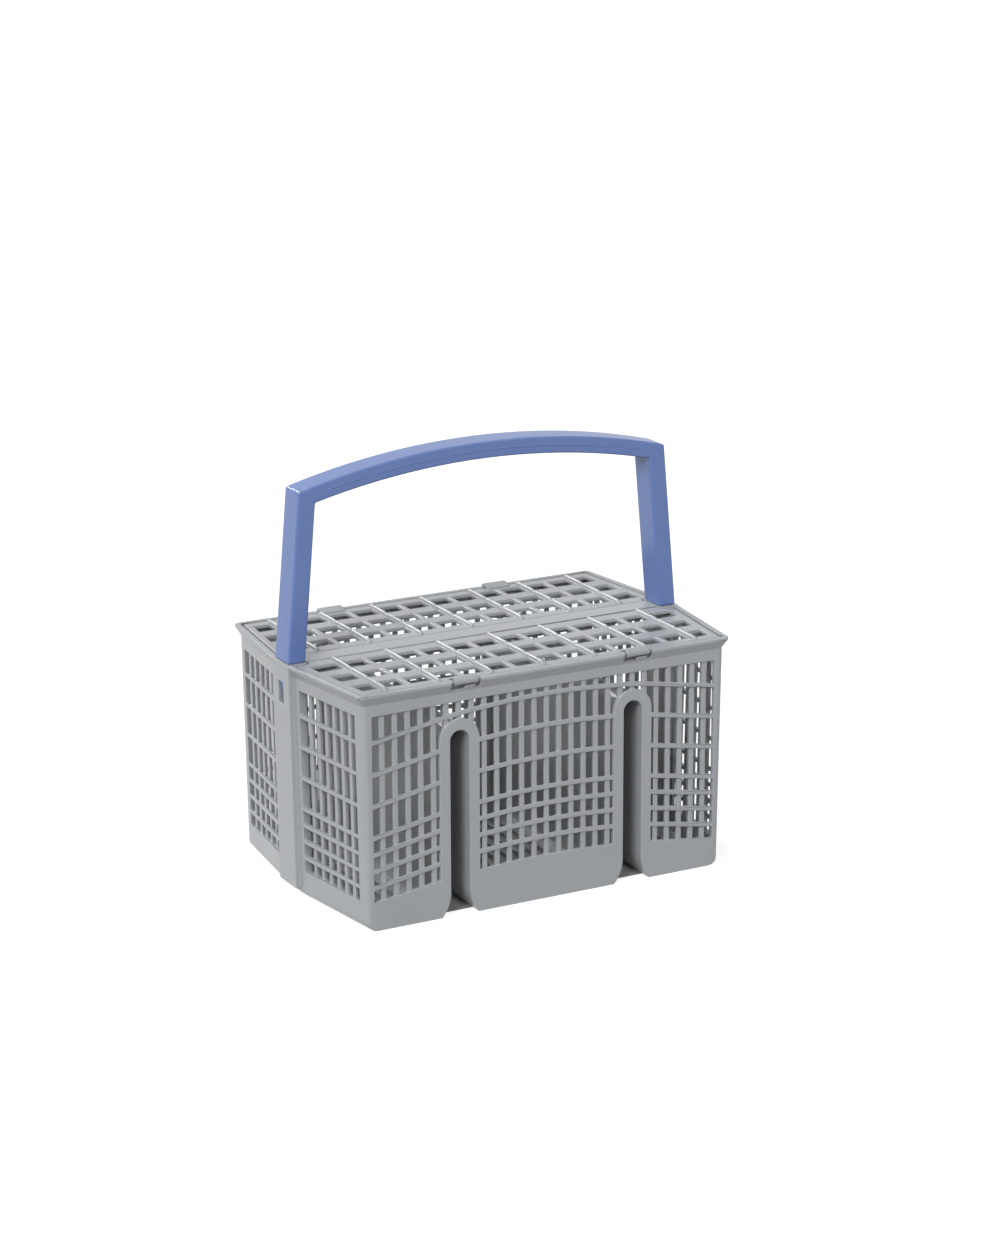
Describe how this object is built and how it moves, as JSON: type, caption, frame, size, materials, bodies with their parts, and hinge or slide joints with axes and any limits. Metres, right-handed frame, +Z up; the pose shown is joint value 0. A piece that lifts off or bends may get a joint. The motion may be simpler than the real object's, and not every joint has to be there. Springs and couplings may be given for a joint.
{
  "type": "dishwasher cutlery rack",
  "caption": "Free-standing moulded cutlery basket with barred walls, two channels below, hinged lid grids and a bow handle, for holding cutlery upright in a dishwasher.",
  "frame": {"origin": "under the middle of the basket, on the surface that it stands on", "axes": "+Z up, +X along the long walls, the front wall at -Y"},
  "size_m": [0.2466, 0.1598, 0.244],
  "materials": {
    "grey_plastic": "fine moulded satin, mid grey polypropylene",
    "blue_plastic": "fine moulded satin, soft blue polypropylene"
  },
  "bodies": {
    "rack": {"basket_body": "grey_plastic", "handle": "blue_plastic"},
    "front_lid": {"front_lid": "grey_plastic"},
    "rear_lid": {"rear_lid": "grey_plastic"}
  },
  "joints": [
    {"name": "front_lid_hinge", "type": "hinge", "parent": "rack", "child": "front_lid", "pos_m": [0, -0.0775, 0.1336], "axis": [1, 0, 0], "range_deg": [0, 105]},
    {"name": "rear_lid_hinge", "type": "hinge", "parent": "rack", "child": "rear_lid", "pos_m": [0, 0.0775, 0.1336], "axis": [-1, 0, 0], "range_deg": [0, 105]}
  ]
}
